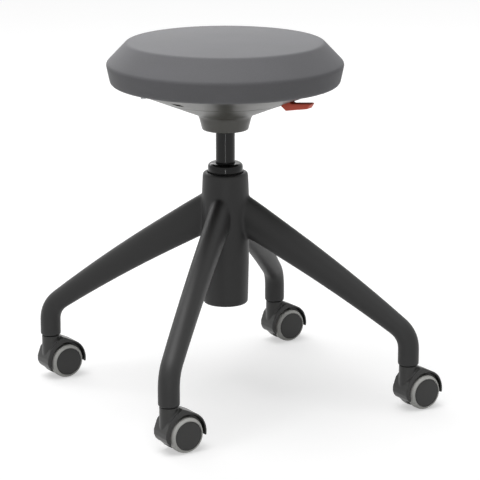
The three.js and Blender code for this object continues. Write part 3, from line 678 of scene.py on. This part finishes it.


# Rubber ring: two halves, split at its middle level, set in place without a body
def rubber_ring():
    hole = 22
    radius = 39
    waist = 1.5
    parting = 0.03
    rows = 6
    middle = (RING_BOTTOM + RING_TOP) / 2
    for half, face, bodies in (("lower", RING_BOTTOM, ("gas_cylinder", "wobble_ring")),
                               ("upper", RING_TOP, ("seat", "wobble_ring"))):
        depth = middle + math.copysign(parting, face - middle) - face
        outside = [(radius - waist * i / rows, face + depth * i / rows, 0) for i in range(rows + 1)]
        inside = [(hole, height, 0) for _, height, _ in reversed(outside)]
        made = piece(f"rubber_ring_{half}", at_column(turned(outside + inside, BASE_FACETS)), None,
                     RUBBER, ["rubber_ring"])
        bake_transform(made)


def cone_height(radius):
    """The level of the shell's outer face at this radius of its cone."""
    return CONE_FOOT + (radius - CONE_RADIUS) * CONE_SLOPE


def on_cone(bm, radius, angle):
    """A bmesh moved from the origin onto the shell's cone, at this radius and angle."""
    return swung(shifted(bm, (radius, 0, cone_height(radius))), angle)


def window_cutter(radius, angle, length, width):
    """Cuts a window through the shell: length along its radius and width across it."""
    height = 41
    corner = 1.6
    window = box_shape(length, width, height, (0, 0, 0))
    uprights = [edge for edge in window.edges
                if abs(edge.verts[0].co.z - edge.verts[1].co.z) > height / 2]
    return cutter(on_cone(rounded(window, uprights, corner, EDGE_STEPS), radius, angle), "window_cutter")


def spare_window_cutters():
    """Cut the spare window, and thin the shell's wall on the inside round it."""
    radius = 119
    angle = math.radians(-152.5)
    size = 14
    thin_wall = 0.9
    relief_length = 32
    relief_width = 24
    relief_height = 20
    relief = box_shape(relief_length, relief_width, relief_height, (0, 0, relief_height / 2 + thin_wall))
    leaning = swung(relief, -math.atan(CONE_SLOPE), "Y")
    return [
        window_cutter(radius, angle, size, size),
        cutter(on_cone(leaning, radius, angle), "relief_cutter"),
    ]


def screw_hole_cutters():
    """Cut the holes of the three screws that hold the shell to the board, under the lip."""
    count = 3
    circle = 147.2
    radius = 2.3
    reach = 20
    first = LEVER_ANGLE + math.radians(10)
    cutters = []
    for i in range(count):
        angle = first + 2 * math.pi * i / count
        hole = turned_bar(radius, -reach, reach, SMALL_FACETS)
        place = (circle * math.cos(angle), circle * math.sin(angle), cone_height(circle))
        cutters.append(cutter(shifted(hole, place), "screw_hole_cutter"))
    return cutters


def under_shell():
    foot_round = 2.6
    flare_round = 2.3
    inner_round = 2.5
    lip_edge = 0.5
    groove_radius = 95.2
    groove_depth = 0.9
    groove_mouth = 1.8
    groove_floor = 1
    groove = [
        (radius, cone_height(radius) + depth, 0) for radius, depth in (
            (groove_radius - groove_mouth / 2, 0), (groove_radius - groove_floor / 2, groove_depth),
            (groove_radius + groove_floor / 2, groove_depth), (groove_radius + groove_mouth / 2, 0))
    ]
    rise = SHELL_WALL * math.hypot(1, CONE_SLOPE)
    shell = turned([
        (BELL_RADIUS - SHELL_WALL, BELL_BOTTOM, lip_edge), (BELL_RADIUS, BELL_BOTTOM, foot_round),
        (BELL_TOP_RADIUS, BELL_TOP, flare_round), (CONE_RADIUS, CONE_FOOT, flare_round), *groove,
        (RIM_RADIUS, SHELL_TOP - RIM_BAND, 0), (RIM_RADIUS, SHELL_TOP, 0),
        (RIM_RADIUS - SHELL_WALL, SHELL_TOP, 0),
        (CONE_RADIUS - SHELL_WALL / 2, CONE_FOOT + rise, inner_round),
        (BELL_TOP_RADIUS - SHELL_WALL, BELL_TOP + SHELL_WALL / 2, inner_round),
    ], SHELL_FACETS)
    lever_window_radius = 107.5
    lever_window_length = 25
    lever_window_width = 34
    cutters = [
        window_cutter(lever_window_radius, LEVER_ANGLE, lever_window_length, lever_window_width),
        *spare_window_cutters(), *screw_hole_cutters(),
    ]
    moulding = baked(shell, "under_shell_solid", cut_by(cutters))
    discard(cutters)
    piece("under_shell_moulding", at_column(moulding), "seat", SHELL_ABS, ["under_shell"], 35)


# Seat pad: bored for the board, with a steep lip, a bevelled side and a crowned top
def seat_pad():
    bore = 154.6
    bore_top = BOARD_TOP + FIT_GAP
    lip = (165.6, LIP_BOTTOM)
    widest = (171.9, LIP_BOTTOM + 30.4)
    bevel_top = (142.4, PAD_TOP - 5.1)
    crown = (93.6, PAD_TOP - 2)
    flat_radius = 45
    pad = turned([
        (0, bore_top, 0), (bore, bore_top, 0), (bore, LIP_BOTTOM, 1.2), (*lip, 6), (*widest, 3.5),
        (*bevel_top, 3), (*crown, 16), (flat_radius, PAD_TOP, 14), (0, PAD_TOP, 0),
    ], PAD_FACETS, closed=False)
    made = piece("seat_foam", at_column(pad), "seat", FOAM, ["seat_pad"], 50)
    rounding = made.modifiers.new("Subdivision", "SUBSURF")
    rounding.levels = 1
    rounding.render_levels = 1


# Height lever: the paddle is a soft-edged wedge with a stepped top
def lever_paddle():
    inner = 95.2
    length = 50.8
    width = 14
    edge = 1.6
    height = PADDLE_TOP - PADDLE_BOTTOM
    shares = [(0.02, 0.5), (0.18, 0.06), (0.87, 0.46), (0.96, 0.9), (0.93, 0.99), (0.37, 0.8), (0.26, 1)]
    wedge = slab([(inner + length * x, PADDLE_BOTTOM + height * z) for x, z in shares], width)
    grip = swung(rounded(wedge, list(wedge.edges), edge, EDGE_STEPS), LEVER_ANGLE)
    piece("lever_grip", at_column(grip), "lever", LEVER_ABS, ["lever_paddle"], 45)


def drum(radius, low, high, facets, centre=(TRAIL, AXLE_HEIGHT)):
    """A cylinder across the castor, from y = low to y = high, round its axle or another centre."""
    bm = bmesh.new()
    bmesh.ops.create_cone(bm, cap_ends=True, segments=facets, radius1=radius, radius2=radius,
                          depth=high - low)
    return shifted(swung(bm, math.pi / 2, "X"), (centre[0], (low + high) / 2, centre[1]))


def hood_outline():
    """The castor hood seen from its side: boss, fender, crest, sloped shoulder and keel, as (x, z)."""
    axle = (TRAIL, AXLE_HEIGHT)
    boss_radius = 8
    fender_radius = 32.8
    fender_end = math.radians(-9.8)
    fender_top = math.radians(57.6)
    crest = (13.5, 64.4)
    shoulder = [(1.35, 57.7), (-9.6, 46), (-14.6, 32), (-14.6, 25)]
    keel = [(-12.2, 19.2), (-4.2, 10.4), (5.9, 5)]
    boss = arc(axle, boss_radius, -math.pi / 2, fender_end, 10)
    fender = arc(axle, fender_radius, fender_end, fender_top, 28)
    return [*boss, *fender, crest, *shoulder, *keel]


def hood_cutters():
    """Cut the wells of the two wheels, the skirt in front of them, the hood's flanks and the axle's bore."""
    well_radius = 28.8
    well_centre = (TRAIL + 1.2, AXLE_HEIGHT + 0.6)
    well_inner = 7
    well_outer = 22
    well_depth = well_outer - well_inner
    skirt_length = 40
    skirt_height = 15.5
    flank_start = 8
    flank_length = 90
    flank_depth = 20
    flank_height = 80
    # Each flank leans in by 2.8 mm along the 44.05 mm from where it starts to the fender's end
    narrowing = math.atan2(2.8, 44.05)
    bore_reach = 10
    cutters = []
    for side in (1, -1):
        low, high = sorted((side * well_inner, side * well_outer))
        well = drum(well_radius, low, high, BASE_FACETS, well_centre)
        cutters.append(cutter(well, "wheel_well"))
        skirt_place = (TRAIL - skirt_length / 2, side * (well_inner + well_depth / 2), skirt_height / 2)
        cutters.append(cutter(box_shape(skirt_length, well_depth, skirt_height, skirt_place), "skirt_cutter"))
        flank_place = (flank_length / 2, side * flank_depth / 2, flank_height / 2)
        flank = swung(box_shape(flank_length, flank_depth, flank_height, flank_place), -side * narrowing)
        cutters.append(cutter(shifted(flank, (flank_start, side * HOOD_WIDTH / 2, 0)), "flank_cutter"))
    cutters.append(cutter(drum(AXLE_BORE, -bore_reach, bore_reach, BORE_FACETS), "axle_bore"))
    return cutters


# Castor hood: fender, crest, sloped shoulder and neck in one moulding, with a keel between the wheels
def hood_mesh():
    neck_radius = 13.5
    neck_bottom = 25
    neck_edge = 0.8
    voxel = 0.75
    neck = cutter(turned([
        (0, neck_bottom, 0), (neck_radius, neck_bottom, 0), (neck_radius, CASTOR_TOP, neck_edge),
        (0, CASTOR_TOP, 0),
    ], NECK_FACETS, closed=False), "neck")
    cutters = hood_cutters()
    solid = baked(slab(hood_outline(), HOOD_WIDTH), "castor_hood_solid", united([neck]) + cut_by(cutters))
    discard([neck, *cutters])
    return mesh_of(baked(solid, "castor_hood_soft", softened(voxel, 5)), "castor_hood_soft")


def wheel_turned(corners, closed):
    """Corners of (radius, distance from the castor's middle plane, rounding) turned about the axle."""
    return swung(turned(corners, BASE_FACETS, closed), -math.pi / 2, "X")


def tyre_shape():
    tread_end = 16
    side_radius = 22.3
    return wheel_turned([
        (TYRE_BORE, WHEEL_INNER, 0), (WHEEL_RADIUS, WHEEL_INNER, 0.9), (WHEEL_RADIUS, tread_end, 2.6),
        (side_radius, WHEEL_OUTER, 1.1), (TYRE_BORE, WHEEL_OUTER, 0.3),
    ], True)


def rim_shape():
    radius = TYRE_BORE - FIT_GAP
    face = WHEEL_OUTER - 0.7
    edge = 0.5
    dome = (16, 20.55)
    return wheel_turned([
        (AXLE_BORE, WHEEL_INNER, 0), (radius, WHEEL_INNER, edge), (radius, face, edge), (*dome, 0),
        (0, WHEEL_OUTER, 0),
    ], False)


def placed(bm, place):
    bmesh.ops.transform(bm, matrix=place, verts=bm.verts)
    return bm


def castors():
    hood = hood_mesh()
    for number, angle in enumerate(LEG_ANGLES, 1):
        stem = Vector((math.cos(angle) * STEM_CIRCLE + COLUMN_X, math.sin(angle) * STEM_CIRCLE, 0))
        castor = Matrix.Translation(stem) @ Matrix.Rotation(CASTOR_YAW, 4, "Z")
        piece(f"castor_hood_moulding_{number}", placed(bmesh_of(hood), castor), f"castor_{number}", NYLON,
              [f"castor_hood_{number}"], 180)
        for side, turn in (("left", 0), ("right", math.pi)):
            wheel = castor @ Matrix.Translation((TRAIL, 0, AXLE_HEIGHT)) @ Matrix.Rotation(turn, 4, "Z")
            for kind, shape, material, slot in (("tyre", tyre_shape(), TREAD, "grey_tyre"),
                                                ("rim", rim_shape(), NYLON, "dark_plastic")):
                piece(f"wheel_{kind}_moulding_{number}_{side}", placed(shape, wheel),
                      f"wheel_{number}_{side}", material, [f"wheel_{kind}_{number}_{side}"], 35)


star_base()
column_tube()
guide_bush()
gas_cylinder()
rubber_ring()
under_shell()
seat_pad()
lever_paddle()
castors()

# CAD solids that stay as they are take the material of the real ones
FINISHES = {
    "bright_steel": ZINC, "black_steel": TUBE_ENAMEL, "dark_rubber": RUBBER, "dark_plastic": NYLON,
    "plywood": PLYWOOD, "gloss_black_plastic": ACETAL, "grey_tyre": TREAD, "red_plastic": LEVER_ABS,
    "grey_plastic": SHELL_ABS, "grey_foam": FOAM, "base_black": POWDER_COAT,
}
for part in frame["record"]["subparts"]:
    solid = frame["nodes"][part["node"]]
    for slot in solid.material_slots:
        slot.material = FINISHES[part["material_slot"]]


def seen_or_mirrored(tree):
    """1 for a ray that comes from the camera or a glossy surface, and 0 for one that carries light."""
    ray = node(tree, "ShaderNodeLightPath")
    return node(tree, "ShaderNodeMath", {
        0: ray.outputs["Is Camera Ray"], 1: ray.outputs["Is Glossy Ray"],
    }, operation="MAXIMUM").outputs[0]


def floor_paint():
    """Pale matt floor that keeps the stool's shadow; it glows for the eye alone, up to white."""
    material = new_material("white_studio_floor")
    tree = material.node_tree
    paint = node(tree, "ShaderNodeBsdfDiffuse", {"Color": linear("#cccccc")})
    glow = node(tree, "ShaderNodeEmission", {"Color": linear("#ffffff"), "Strength": 0.53})
    dark = node(tree, "ShaderNodeEmission", {"Strength": 0.0})
    lift = node(tree, "ShaderNodeMixShader", {
        0: seen_or_mirrored(tree), 1: dark.outputs[0], 2: glow.outputs[0],
    })
    both = node(tree, "ShaderNodeAddShader", {0: paint.outputs[0], 1: lift.outputs[0]})
    # From below the floor is clear, so that the stool can be looked at from underneath too
    underside = node(tree, "ShaderNodeNewGeometry").outputs["Backfacing"]
    clear = node(tree, "ShaderNodeBsdfTransparent")
    surface = node(tree, "ShaderNodeMixShader", {0: underside, 1: both.outputs[0], 2: clear.outputs[0]})
    return finished(material, surface.outputs[0])


# The studio's sizes and places are in metres
def studio_floor():
    half_size = 30
    bm = bmesh.new()
    bmesh.ops.create_grid(bm, x_segments=1, y_segments=1, size=half_size)
    floor = object_of(mesh_of(bm, "studio_floor"), "studio_floor")
    floor.data.materials.append(floor_paint())


def studio_room():
    """A room that is white to look at and gives the stool only a little light."""
    world = bpy.data.worlds.new("studio_room")
    bpy.context.scene.world = world
    world.use_nodes = True
    tree = world.node_tree
    tree.nodes.clear()
    strength = node(tree, "ShaderNodeMapRange", {
        "Value": seen_or_mirrored(tree), "To Min": 0.03, "To Max": 1.0,
    })
    room = node(tree, "ShaderNodeBackground", {"Color": linear("#ffffff"), "Strength": strength.outputs[0]})
    node(tree, "ShaderNodeOutputWorld", {"Surface": room.outputs[0]})


def studio_lights():
    """Soft light from above and behind, a low strip in front and a long low light at the back."""
    aim = Vector((0, 0, 0.5))
    for name, kind, settings, place in (
        ("studio_ceiling", "SUN", {"angle": math.radians(50), "energy": 2.15}, (-0.5, -0.1, 3)),
        ("back_softbox", "AREA", {"size": 3, "energy": 24}, (0.5, 1.7, 2.4)),
        ("front_strip_light", "AREA", {"shape": "RECTANGLE", "size": 0.035, "size_y": 0.3, "energy": 0.5},
         (-0.508, -0.919, 0.11)),
        ("low_back_light", "AREA", {"shape": "RECTANGLE", "size": 2.4, "size_y": 0.35, "energy": 7},
         (0.2, 2.4, 1.35)),
    ):
        light = bpy.data.lights.new(name, kind)
        for key, value in settings.items():
            setattr(light, key, value)
        lamp = object_of(light, name)
        lamp.location = place
        lamp.rotation_euler = (aim - lamp.location).to_track_quat("-Z", "Y").to_euler()


def photo_camera():
    """The camera stands where the photograph was taken from, as its fitted outlines give."""
    lens = bpy.data.cameras.new("photo_camera")
    lens.sensor_width = 36
    lens.lens = 172.5
    lens.clip_end = 100
    heading = math.radians(28.974)
    pitch = math.radians(14.4215)
    made = object_of(lens, "photo_camera")
    made.location = (-1.5797, -2.8699, 1.0748)
    level_reach = math.cos(pitch)
    view = Vector((math.sin(heading) * level_reach, math.cos(heading) * level_reach, -math.sin(pitch)))
    made.rotation_euler = view.to_track_quat("-Z", "Y").to_euler()
    bpy.context.scene.camera = made


studio_floor()
studio_room()
studio_lights()
photo_camera()
bpy.context.scene.view_settings.view_transform = "Standard"
